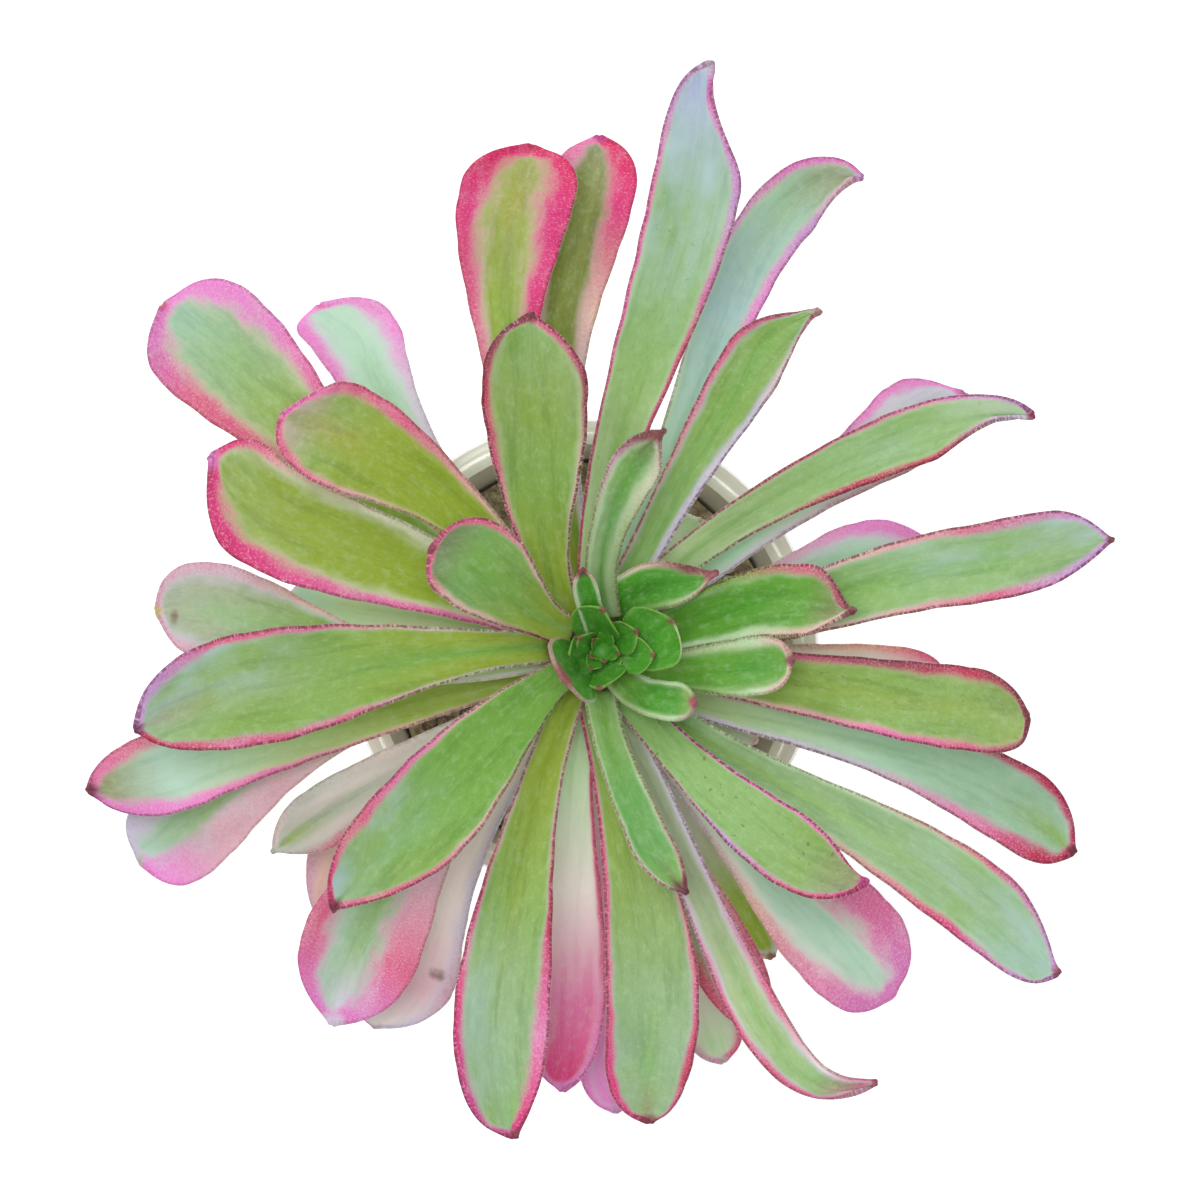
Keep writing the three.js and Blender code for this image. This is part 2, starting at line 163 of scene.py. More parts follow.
# root is where the leaf leaves the stem, turn how far its first stretch swings from there, tip and
# reach where it ends, aim the way its tip points, hook how sharply it bends there. width is its
# widest place, broad how far along that is, slim how late it widens, blunt the roundness of its
# end, skew how much rounder its left side is there, and cant sets the tip to the left (+) or right
# (-). rise is the slope at the stem, bend how much of that slope is lost by the tip.
Leaf = namedtuple("Leaf", "root turn tip reach aim hook width broad slim blunt skew cant rise bend")

# Leaves from the youngest to the oldest, one row each in the words above, as in the solids
LEAF_TABLE = """
311 -13 332 12.4 357 0 4.6 0.76 1.2 0.7 0 0 50 34
144 16 145 22.8 157 0 10.9 0.72 1.2 1 0 0.25 48 30
77 28 76 26.6 66 0.15 5.9 0.8 2.6 0.1 0.4 -0.4 56 26
212 3 222 41.7 208 0 11.9 0.62 0.7 0.6 -0.65 0.3 34 20
276 0 287 29.2 287 0 4.9 0.79 1.6 0.3 -0.25 0.75 46 26
342 9 357 22.7 4 0 6.8 0.78 1.3 0.95 0 0.1 44 28
61 23 29 15.7 350 0 5.6 0.6 0.5 0 -0.05 0.6 50 34
128 -11 102.5 39.4 108 0 12.4 0.78 1.1 0.75 0.8 -0.25 37 22
239 10 258 56.6 266 0 11.2 0.76 1.2 0.85 -0.8 0.5 24 17
306 5 318.5 41.3 333 0.4 8.6 0.71 1.1 0.2 -0.4 0.3 33 20
19 -8 7.5 29.5 319 0 8.6 0.8 0.6 0 -0.35 0.35 38 24
89 2 79 69.1 93 0 10.5 0.8 1.1 0.3 0.8 -0.1 24 13
130 -1 140 44.8 131 1.2 12.5 0.68 1.1 0.95 -0.5 0.25 28 22
171 10 186 52.8 181 0.25 13.3 0.68 0.9 1 -0.75 0.5 23 16
291 6 302 61.9 359 0.85 6 0.53 2.6 0.1 0.35 1 20 16
349 5 353 50.9 6 0.9 9.8 0.76 0.5 1.1 -0.4 -0.2 21 15
61 2 60.5 47.4 64 1.05 7.6 0.63 1.1 0.05 0.15 -0.95 24 15
153 -8 155 49.9 140 0 12.8 0.84 0.6 0.4 -0.45 -0.35 20 16
274 13 276.5 54.4 264 1.2 10.9 0.5 0.7 1.05 -0.5 0.2 17 14
317 5 325.5 65.8 311 0 9.6 0.8 1.8 0.7 -0.8 0.1 15 14
15 -12 8.5 60.1 341 0 9.5 0.87 0.6 0.1 -0.15 1 16 13
114 -5 97.5 59.5 85 0.95 13.5 0.83 1.8 0.9 0 -0.2 17 13
232 -11 235 52.3 249 0.4 14.1 0.77 1.5 0.3 0 0.05 13 14
179 15 174 50.4 191 0.6 11.3 0.82 1.4 0.7 0 0.05 10 12
286 0 295 47.7 297 0 8.2 0.77 1.2 0.8 0 0 9 12
333 1 337 60.9 308 0 9.7 0.85 2.6 0.75 -0.7 0.25 9 12
49 -3 31 59.4 23 0.2 7.1 0.76 1.5 0.3 0.8 -0.85 12 12
88 16 88.5 60.3 89 0.85 10 0.85 1.3 0.55 0 0 11 12
217 -1 213 43.2 223 0.25 7.5 0.8 1.1 0.1 0 -0.15 5 12
309 0 313 53.8 315 0.6 13.6 0.76 1.6 0.8 0 -0.15 6 12
264 0 267 51 269 0 10 0.73 1.3 0.6 0 0 8 12
147 -1 140 64 142 0.55 15.1 0.84 1.7 0.7 0 0.05 8 12
66 -5 59.5 63.7 354 0.55 8.1 0.77 0.9 0.2 0.3 0.25 8 12
193 2 198.5 59 219 0.65 10.1 0.79 0.5 0.65 0.45 -0.7 7 12
332 0 333 22.5 334 0 5.1 0.77 1.2 0.8 0 0 6 10
238 -3 245 49.4 255 1 9 0.75 1.4 0.75 0 -0.85 3 12
28 11 37 53.2 57 1.05 10.4 0.83 1.8 0.8 0 -0.5 4 12
290 0 289 50.6 287 0 8.8 0.77 1.2 0.85 0 0 2 12
144 0 145 32 148 0 7 0.77 1.2 0.8 0 0 3 10
197 -6 205.5 57.6 216 0.9 11.9 0.83 1.5 0.85 0 -0.1 2 12
355 0 356.5 42.5 358 0 6.9 0.77 1.2 0.9 0 0 2 12
53 0 49 20.9 46 0 5.8 0.77 1.2 0.8 0 0 2 10
272 0 274 54.1 272 0 9.4 0.77 1.2 0.85 0 0 1 12
164 0 169 35.3 170 0 6.7 0.77 1.2 0.8 0 0 1 10
226 -4 222.5 44.7 226 0.05 11.9 0.75 1.2 0.4 0 0.45 -1 12
12 3 18.5 43.7 25 0.2 11.2 0.75 1.2 0.7 0 -0.55 -1 12
295 0 302 42.1 298 0 7.8 0.75 1.2 0.5 0 0 -2 12
132 0 124 51 114 1.1 10.7 0.85 1.7 0.7 0 0.55 -2 12
"""

# Unopened leaves of the heart, outer ones first, measured from the heart's own middle
HEART_TABLE = """
0 0 24 8.9 44 0 8.4 0.74 1.2 0.45 0.1 0 44 18
104 0 103 9.8 95 0 3 0.74 1.2 0.4 0 0 60 20
210 0 212 5.4 212 0 8.8 0.72 1.2 0.9 0 0 44 -36
252 0 266 4.2 275 0 6.6 0.75 1.2 0.5 -0.3 0 46 -26
114 0 88 4.9 50 0 6 0.74 1.2 0.5 0.4 0 48 -24
350 0 357 6 2 0 4.4 0.7 1.2 0.3 0 0 52 10
38 0 30 4.7 22 0 4.2 0.68 1.2 0.3 0 0 56 4
185 0 192 3.9 196 0 4.6 0.76 1.2 0.8 0 0 50 -24
150 0 148 3.1 140 0 3.2 0.76 1.2 0.6 0 0 58 -12
300 0 302 2.8 300 0 3.2 0.7 1.2 0.3 0 0 58 0
75 0 68 2.6 55 0 2.2 0.7 1.2 0.3 0 0 62 6
230 0 236 2.4 245 0 2.2 0.7 1.2 0.3 0 0 62 0
0 0 352 2 345 0 1.9 0.7 1.2 0.3 0 0 66 4
120 0 126 1.8 130 0 1.6 0.7 1.2 0.3 0 0 68 4
200 0 205 1.4 215 0 1.4 0.7 1.2 0.3 0 0 70 4
290 0 285 1.2 280 0 1.2 0.7 1.2 0.3 0 0 72 4
"""


def read_leaves(table):
    return [Leaf(*map(float, row.split())) for row in table.strip().splitlines()]


LEAVES = read_leaves(LEAF_TABLE)
HEART_LEAVES = read_leaves(HEART_TABLE)

# Tones of the plant as they look in soft daylight
TONES = dict(
    deep="3d8a1b", vivid="4f9c29", grass="66a436", fern="6ca755", spring="7dae4c",
    leaf="8bb056", apple="93bb70", moss="8fab47", olive="95ab30", brass="a3a440",
    khaki="7f8c34", yellow="9fb442", sage="93b57e", teal="82aa74", mint="9fc5a4",
    ice="b9dac6", blue="aac8cc", celery="b4c996", lichen="a9b295", milk="c9e2ba",
    cream="d9dbc0", grey="c2c2ba", blush="e4bfb6", salmon="e3a79c", taupe="c0a89c",
    shell="e0cfcd", pearl="f2e4e6", haze="d6cde0", lilac="cf9fd4", orchid="e084c6",
    pink="e97fb6", rose="de6c92", hot="df4088", fuchsia="e02a72", crimson="c93560",
    magenta="c8468e", dusky="a65363", rosewood="8a4c4e", maroon="6b2b3a", plum="693456",
    brown="77553a", straw="c8ba70", frost="b6d0d8", sky="b6bede", dull="76864e",
    drab="929663", dusty="dab0c2", rosy="e8bccb", candy="ee94d8",
)

# Shares of a leaf's length at which the words of its looks stand
PLACES = (0.2, 0.5, 0.78, 0.95)

# The finish of one leaf. flesh and spine name its side and middle greens, left and right each
# margin's band and how much of the leaf's width it takes in percent, all at the four places, and
# the last one told holds to the end. tip is the tone and size in mm of its end, and halo the pale
# tone inside the bands and its width in percent. After halo comes the waxy bloom with a painted
# bluish sky sheen over it, which leans to the left (+) or right (-). rim and specks are the
# strengths of the dark outline and the brown specks, and scar is a brown spot, told as its place
# along and across and its size in mm.
Look = namedtuple("Look", "flesh spine left right tip halo frost lean rim specks scar")
NO_SCAR = (-99, 0, 1)


def look(flesh, spine, left, right, tip, halo, frost=0.1, lean=0, rim=0.2, specks=0,
         scar=NO_SCAR):
    words = [text.split() for text in (flesh, spine, left, right, tip, halo)]
    return Look(*words, frost, lean, rim, specks, scar)


def four(words):
    """One word for each of the four places."""
    return words + words[-1:] * (len(PLACES) - len(words))


# Many of the lower leaves, which lie in the shade of those above, take lighter tones than their
# own: painted light that evens out that shade.
LOOKS = [
    look("spring vivid vivid leaf", "grass vivid vivid spring", "milk 8 milk 8 milk 8 celery 8",
         "celery 6 celery 7 milk 9 taupe 10", "dusky 1", "celery 6", 0.05, rim=0.1),
    look("yellow leaf spring dull", "leaf spring spring dull", "dusky 6 blush 7 blush 6 rose 12",
         "blush 6 blush 5 rose 7 rose 9", "dusky 0.7", "cream 3", 0.15, rim=0.7),
    look("celery sage spring dull", "fern fern grass dull",
         "celery 8 celery 10 dusty 8 rosewood 24", "celery 18 celery 20 cream 22 taupe 16",
         "rosewood 2.2", "milk 9", rim=0.6),
    look("spring spring leaf teal", "spring spring spring leaf", "leaf 2 blush 4 rose 6 rose 12",
         "blush 3 pink 6 rose 11 hot 9", "maroon 1.2", "milk 3", 0.5, -0.7, rim=0.7),
    look("apple fern fern spring", "spring fern fern dull", "celery 6 celery 7 taupe 8 dusky 9",
         "celery 5 celery 5 taupe 6 taupe 8", "maroon 1.8", "milk 5", rim=0.6),
    look("grass", "spring grass vivid grass", "celery 10 celery 12 milk 14 blush 12",
         "spring 4 spring 5 milk 9 blush 12", "rosewood 0.8", "celery 7", 0.05, rim=0.4),
    look("vivid", "deep deep vivid", "milk 6 blush 8 rosewood 18 dusky 24",
         "spring 4 spring 6 celery 12 blush 16", "dusky 1.2", "celery 5", 0, rim=0.4),
    look("yellow leaf moss leaf", "moss leaf moss leaf", "rose 5 rose 8 crimson 8 dusky 9",
         "blush 3 blush 4 dusky 5 rose 11", "rosewood 1", "cream 5", 0.15, rim=0.9),
    look("yellow leaf sage leaf", "olive moss sage spring", "blush 5 crimson 5 pink 15 hot 20",
         "blush 4 rose 5 hot 9 magenta 11", "dusky 1", "haze 4", 0.3, -0.7, rim=0.7),
    look("apple apple leaf drab", "apple apple leaf drab", "pink 3 pink 4 pink 5 rose 6",
         "blush 3 lilac 6 rose 6 hot 8", "magenta 1.2", "haze 3", 0.15, -0.5, rim=0.8,
         specks=0.5),
    look("grass grass grass drab", "grass vivid grass dull", "leaf 8 leaf 10 rose 11 dusky 22",
         "milk 10 milk 11 blush 11", "rosewood 1", "milk 5", 0, rim=0.8),
    look("celery apple apple sky", "leaf apple apple sky", "rose 5 pink 4 pink 5 lilac 8",
         "rose 4 rose 6 lilac 10 orchid 13", "haze 1.6", "milk 5", 0.95, rim=0.6, specks=0.2),
    look("olive olive moss taupe", "olive olive brass drab", "olive 2 blush 4 rose 6 rose 13",
         "blush 8 rose 12 rose 9 pink 15", "pink 1", "blush 4", rim=0.5),
    look("yellow leaf leaf sage", "spring leaf moss drab", "cream 4 rose 6 rose 9 crimson 9",
         "cream 4 rose 4 rose 6 lilac 14", "plum 1.1", "haze 3", 0.45, -0.9, rim=0.7),
    look("lichen celery apple dusky", "lichen apple apple rose",
         "haze 10 rose 14 pearl 8 rose 10", "haze 8 rose 9 rose 16 dusty 20", "dusky 1", "haze 8",
         rim=0.6),
    look("moss leaf leaf moss", "moss", "rose 9 dusky 10 crimson 12 dusky 12",
         "blush 6 pink 8 rose 8 dusky 8", "rosewood 0.7", "blush 5", rim=0.8, specks=0.3),
    look("apple leaf leaf spring", "apple spring spring moss", "blush 7 rose 9 rose 11 dusky 8",
         "haze 16 haze 9 blush 5 rose 4", "taupe 0.9", "haze 6", 0.15, rim=0.7),
    look("olive olive olive moss", "olive", "pink 8 pink 9 hot 18 hot 30",
         "cream 16 cream 7 blush 5 hot 13", "orchid 1.4", "cream 8", rim=0.5),
    look("moss sage", "moss sage spring drab", "blush 5 rose 5 crimson 9 rose 7",
         "rose 6 rose 5 hot 10 hot 12", "rosewood 1.5", "haze 4", 0.25, rim=0.7),
    look("sage sage apple mint", "leaf apple leaf mint", "milk 4 milk 4 rose 6 lilac 12",
         "haze 20 blush 9 hot 9 lilac 6", "dusky 0.8", "milk 5", 0.6, rim=0.6),
    look("apple apple apple sage", "spring spring spring leaf", "haze 5 blush 6 rose 11 lilac 9",
         "blush 7 blush 7 rose 10 lilac 15", "rosewood 0.8", "haze 4", 0.7, 0.7, rim=0.8),
    look("yellow", "yellow moss brass", "blush 8 rose 14 hot 20 fuchsia 27",
         "blush 14 hot 20 hot 24 fuchsia 26", "crimson 0.8", "rosy 9", rim=0.3),
    look("apple sage mint", "leaf leaf sage haze", "shell 34 dusty 36 rose 34 orchid 36",
         "dusty 12 rose 15 rose 19 orchid 21", "haze 1.6", "haze 8"),
    look("celery leaf lichen", "leaf leaf sage lichen", "cream 4 taupe 6 dusty 8 dusty 12",
         "cream 4 blush 5 dusty 12 dusty 14", "straw 0.9", "haze 8", 0.2, scar=(44, 1, 1)),
    look("lichen lichen lichen grey", "lichen moss moss lichen",
         "cream 8 blush 10 rose 12 rose 10", "blush 8 rose 18 crimson 20 rose 16", "taupe 1.2",
         "grey 8", rim=0.4),
    look("celery ice mint", "celery mint mint leaf", "taupe 13 rose 7 crimson 8 crimson 13",
         "haze 14 haze 11 pink 13 crimson 22", "maroon 0.9", "haze 5", 0.15, rim=0.7),
    look("celery apple apple celery", "apple", "blush 4 rose 5 pink 6 lilac 10",
         "milk 4 crimson 10 crimson 9 haze 16", "dusky 0.8", "milk 5", 0.3, rim=0.8, specks=0.15),
    look("moss khaki khaki dull", "olive khaki khaki drab", "blush 6 blush 7 pink 8 pink 22",
         "haze 12 blush 20 hot 26 fuchsia 32", "magenta 0.9", "rosy 8", 0.05, rim=0.3),
    look("shell shell shell grey", "shell grey lichen moss", "haze 8 lilac 12 rose 16 grey 12",
         "grey 14 shell 16 grey 16 shell 14", "grey 1.2", "grey 10", rim=0.25),
    look("milk ice", "milk ice", "pink 26 pink 42 pink 36 orchid 38",
         "haze 8 blush 10 pink 16 orchid 28", "orchid 1.4", "pearl 10"),
    look("milk pearl pink hot", "milk pearl pink hot", "rose 6 rose 6 pink 7 orchid 11",
         "milk 8 salmon 8 pink 8 orchid 11", "orchid 1.2", "rosy 5", 0, rim=0.4),
    look("leaf olive sage mint", "moss olive apple mint", "rose 8 rose 13 rose 17 orchid 25",
         "rose 10 rose 10 candy 15 candy 24", "rose 0.9", "cream 8", 0.15, rim=0.4),
    look("ice blue mint drab", "mint blue sage drab", "milk 4 haze 4 orchid 11 orchid 14",
         "haze 10 candy 16 lilac 12 dusty 14", "lilac 0.9", "milk 6", 0.4, rim=0.5),
    look("yellow celery ice drab", "yellow apple ice drab", "blush 3 pink 6 candy 14 orchid 22",
         "blush 4 rose 6 rose 12 pink 22", "maroon 1.6", "blush 5", 0.25, rim=0.6),
    look("lichen lichen lichen grey", "lichen moss lichen", "cream 8 cream 10 grey 12 taupe 10",
         "cream 8 cream 10 grey 12 taupe 10", "taupe 0.7", "grey 6"),
    look("pearl pearl rosy pearl", "pearl pearl rosy pearl", "haze 8 haze 10 dusty 14 haze 12",
         "blush 5 blush 5 dusty 6 candy 8", "grey 0.8", "haze 10", scar=(32.2, 2.1, 1.3)),
    look("ice pearl haze", "ice pearl haze", "haze 6 candy 9 candy 11 candy 14",
         "haze 8 dusty 8 dusty 8 pink 10", "orchid 1", "haze 12", 0.3, rim=0.4),
    look("shell shell pearl milk", "shell shell pearl milk", "blush 8 blush 10 salmon 14 rose 16",
         "blush 8 blush 10 dusty 12", "grey 0.7", "shell 10", 0),
    look("celery lichen", "moss lichen", "cream 8 cream 8 grey 12 grey 10",
         "cream 8 cream 8 grey 12 grey 10", "taupe 0.7", "grey 7"),
    look("pearl shell apple ice", "pearl lichen apple ice", "pearl 20 rosy 40 rosy 44 candy 44",
         "shell 10 rosy 14 haze 22", "grey 1", "haze 8", 0.2),
    look("shell shell shell pink", "shell shell shell pink",
         "taupe 10 taupe 10 salmon 10 rose 14", "taupe 10 taupe 10 rose 12 rose 14", "magenta 1",
         "blush 6", 0, rim=0.3),
    look("grey grey cream celery", "grey grey cream celery", "grey 8 grey 10 cream 14 cream 16",
         "grey 8 grey 10 cream 14 cream 12", "taupe 0.6", "grey 8"),
    look("shell candy", "shell candy", "blush 8 orchid 10 orchid 14",
         "blush 8 orchid 10 candy 14", "lilac 1", "haze 8", 0.05, rim=0.3),
    look("cream cream milk ice", "celery celery celery ice", "taupe 6 rosy 6 blush 14 haze 14",
         "taupe 5 taupe 5 leaf 4 haze 12", "grey 0.8", "cream 8"),
    look("shell shell blush", "shell shell shell blush", "taupe 10 blush 12 blush 14 salmon 14",
         "taupe 10 blush 12 dusty 16 dusty 14", "taupe 0.8", "blush 8", 0),
    look("mint mint ice haze", "mint mint ice haze", "pink 6 dusty 9 candy 13 candy 20",
         "milk 8 milk 10 milk 12 milk 10", "orchid 1", "haze 12", 0.2),
    look("grey grey olive", "grey grey moss olive", "taupe 14 taupe 20 grey 24",
         "grey 12 taupe 14 grey 14 taupe 12", "brown 0.7", "grey 12", 0, rim=0.3),
    look("mint ice", "mint mint ice", "candy 8 candy 11 candy 14 candy 20",
         "haze 8 haze 12 candy 17 candy 21", "pink 0.8", "haze 12", 0.05, rim=0.15),
]

HEART_LOOKS = [
    look("vivid", "deep deep vivid", "vivid 2 vivid 2 spring 2",
         "spring 2 spring 2 spring 2 celery 2", "brown 0.7", "spring 2", 0, rim=0.05,
         scar=(13, -1.5, 0.7)),
    look("vivid", "deep vivid", "milk 8 milk 10 milk 12 blush 12",
         "milk 4 milk 5 milk 9 blush 12", "maroon 1.2", "milk 5", 0, rim=0.3),
    look("deep deep vivid", "deep deep deep vivid", "spring 1 spring 2 milk 2 taupe 4",
         "milk 1 blush 2 blush 4 taupe 7", "dusky 2", "spring 3", 0, rim=0.3),
    look("deep vivid", "deep deep vivid", "vivid 2 vivid 2 spring 2", "vivid 2 vivid 2 spring 2",
         "rosewood 0.5", "spring 2", 0, rim=0.05, specks=0.4),
]


def linear(tone):
    """A tone's red, green and blue in linear light."""
    code = TONES.get(tone, tone)
    parts = [int(code[i:i + 2], 16) / 255 for i in (0, 2, 4)]
    light = [c / 12.92 if c < 0.04045 else ((c + 0.055) / 1.055) ** 2.4 for c in parts]
    return (*light, 1)


def clamp(value):
    return min(1, max(0, value))


def smooth(value):
    k = clamp(value)
    return k * k * (3 - 2 * k)


def lerp(a, b, share):
    return a + (b - a) * share


def direction(angle):
    return Vector((math.cos(math.radians(angle)), math.sin(math.radians(angle))))


def root_heights():
    below = [0]
    for rank in range(1, len(LEAVES)):
        below.append(below[-1] + ROOT_STEP + YOUNG_ROOT_STEP * math.exp(-rank / YOUNG_ROOT_FADE))
    return [OLDEST_ROOT + below[-1] - depth for depth in below]


HEIGHTS = root_heights()
STEM_TOP = HEIGHTS[0] + STEM_END


def stem_middle(height):
    t = max(0, (height - OLDEST_ROOT) / (STEM_TOP - OLDEST_ROOT))
    return Vector((LEAN[0] * t * t, LEAN[1] * t * t))


def stem_radius(height):
    t = (STEM_TOP - height) / (STEM_TOP - HEIGHTS[YOUNG_LEAVES])
    return lerp(STEM_TIP_RADIUS, STEM_RADIUS, smooth(t))


def plan_points(form, ring):
    """The four points that steer the midrib, seen from above."""
    start = direction(form.root) * ring
    end = direction(form.tip) * form.reach
    span = (end - start).length
    out = start + direction(form.root + form.turn) * (ARM + HOOK_OUT * form.hook) * span
    back = end + direction(form.aim) * (HOOK_BACK * form.hook - ARM) * span
    return start, out, back, end


def midrib(form, ring, along):
    start, out, back, end = plan_points(form, ring)
    t = min(1, along)
    s = 1 - t
    flat = start * s**3 + out * 3 * s * s * t + back * 3 * s * t * t + end * t**3
    first = math.tan(math.radians(form.rise))
    last = math.tan(math.radians(form.rise - form.bend))
    distance = flat.length - ring
    lift = distance * first + (last - first) * distance**2 / (2 * (form.reach - ring))
    return Vector((flat.x, flat.y, lift))


def midrib_length(form, ring):
    points = [midrib(form, ring, step / LENGTH_STEPS) for step in range(LENGTH_STEPS + 1)]
    return sum((b - a).length for a, b in zip(points, points[1:]))


def open_width(form, along, narrow):
    """The blade's width if it didn't close again towards its tip."""
    return narrow + (form.width - narrow) * smooth(along / form.broad) ** form.slim


def half_width(form, along, narrow, side):
    """Half the blade's width on its left (side 1) or its right (-1)."""
    past = max(0, (along - form.broad) / (1 - form.broad))
    blunt = form.blunt + side * form.skew
    closing = (1 - past ** (2 + blunt)) ** (1 / (1 + TIP_ROUNDING * blunt))
    return max(TIP_WIDTH, open_width(form, along, narrow) * closing) / 2


def tip_shift(form, along):
    """How far the blade is set sideways near its tip."""
    near_tip = max(0, (along - CANT_START) / (1 - CANT_START))
    return 0.5 * form.cant * form.width * near_tip**2


def frame_at(form, ring, along):
    """The midrib's point with its forward, side and up directions."""
    ahead = midrib(form, ring, along + NEAR) - midrib(form, ring, max(0, along - NEAR))
    forward = ahead.normalized()
    side = Vector((-forward.y, forward.x, 0)).normalized()
    up = forward.cross(side).normalized()
    return midrib(form, ring, along) + side * tip_shift(form, along), forward, side, up


def only(piece):
    bpy.ops.object.select_all(action="DESELECT")
    piece.select_set(True)
    bpy.context.view_layer.objects.active = piece


def apply_all(piece):
    only(piece)
    for modifier in list(piece.modifiers):
        bpy.ops.object.modifier_apply(modifier=modifier.name)


def add_object(name, data):
    made = bpy.data.objects.new(name, data)
    bpy.context.collection.objects.link(made)
    return made


def join(pieces, name):
    only(pieces[0])
    for piece in pieces:
        piece.select_set(True)
    bpy.ops.object.join()
    pieces[0].name = name
    return pieces[0]


def face_outward(piece, weld=0):
    """Turns a piece's faces outward, and corners closer than weld mm become one."""
    only(piece)
    bpy.ops.object.mode_set(mode="EDIT")
    bpy.ops.mesh.select_all(action="SELECT")
    if weld:
        bpy.ops.mesh.remove_doubles(threshold=weld * MM)
    bpy.ops.mesh.normals_make_consistent(inside=False)
    bpy.ops.object.mode_set(mode="OBJECT")


# Materials. The inputs of a node are told by number or name, and each takes a number, a tone or
# another node's output.


def feed(tree, target, inputs):
    for key, value in inputs.items():
        socket = target.inputs[key]
        if isinstance(value, bpy.types.NodeSocket):
            tree.links.new(value, socket)
        elif isinstance(value, str):
            socket.default_value = linear(value)
        else:
            socket.default_value = value


def node(tree, kind, inputs, **settings):
    """The outputs of a new node."""
    made = tree.nodes.new(kind)
    for key, value in settings.items():
        setattr(made, key, value)
    feed(tree, made, inputs)
    return made.outputs


def reckon(tree, operation, a, b, c=0):
    return node(tree, "ShaderNodeMath", {0: a, 1: b, 2: c}, operation=operation)[0]


def plus(tree, a, b):
    return reckon(tree, "ADD", a, b)


def times(tree, a, b):
    return reckon(tree, "MULTIPLY", a, b)


def between(tree, value, low, high, start=0, stop=1):
    """Goes softly from start to stop while a value goes from low to high."""
    inputs = {0: value, 1: low, 2: high, 3: start, 4: stop}
    return node(tree, "ShaderNodeMapRange", inputs, interpolation_type="SMOOTHSTEP")[0]


def blend(tree, share, a, b, kind="MIX"):
    inputs = {0: share, 6: a, 7: b}
    return node(tree, "ShaderNodeMix", inputs, data_type="RGBA", blend_type=kind)[2]


def overlay(tree, tone, layers):
    """A tone with others over it, each strongest where its value has gone from low to high."""
    for value, low, high, most, over in layers:
        tone = blend(tree, between(tree, value, low, high, 0, most), tone, over)
    return tone


def attribute(tree, name, kind="Fac"):
    return node(tree, "ShaderNodeAttribute", {}, attribute_name=name)[kind]


def stretch(tree, vector, scales):
    return node(tree, "ShaderNodeVectorMath", {0: vector, 1: scales}, operation="MULTIPLY")[0]


def noise(tree, vector, scale, detail, rough):
    inputs = {"Vector": vector, "Scale": scale, "Detail": detail, "Roughness": rough}
    return node(tree, "ShaderNodeTexNoise", inputs)["Fac"]


def bumps(tree, height, strength, depth):
    inputs = {"Height": height, "Strength": strength, "Distance": depth * MM}
    return node(tree, "ShaderNodeBump", inputs)[0]


def surface(material, inputs):
    tree = material.node_tree
    feed(tree, tree.nodes["Principled BSDF"], inputs)


def plain_material(name, tone, rough):
    material = bpy.data.materials.new(name)
    material.use_nodes = True
    surface(material, {"Base Color": tone, "Roughness": rough})
    return material


def mottled_material(name, dark, light, scale, rough, depth, detail=6):
    """Two tones mixed by noise in the object's own space, with bumps of that depth in mm."""
    material = plain_material(name, light, rough)
    tree = material.node_tree
    place = node(tree, "ShaderNodeTexCoord", {})["Object"]
    cloud = noise(tree, place, scale, detail, 0.65)
    colour = blend(tree, between(tree, cloud, 0.35, 0.65), dark, light)
    surface(material, {"Base Color": colour, "Normal": bumps(tree, cloud, 0.6, depth)})
    return material


SKIN_TONES = ("flesh", "pale", "tint", "tipped")
SKIN_VALUES = (
    "along", "margin", "band", "halo", "milky", "tip", "frost", "rim", "specks", "scar",
)

# The noises of the leaf skin, each with its waves per mm across, along and from leaf to leaf, its
# detail and its roughness
SKIN_NOISES = {
    "streaks": ((1, 0.1, 1), 3, 0.6),
    "fine": ((3.2, 1.4, 1), 1, 0.6),
    "mottle": ((1.1, 0.7, 1), 3, 0.65),
    "grain": ((3.8, 3.8, 3.8), 2, 0.6),
    "patches": ((0.24, 0.1, 1), 2, 0.55),
    "ragged": ((0.6, 0.2, 1), 4, 0.6),
    "dots": ((1.3, 1.3, 1.3), 1, 0.4),
}
SKIN_STEP = 7.3
WANDER = 0.22


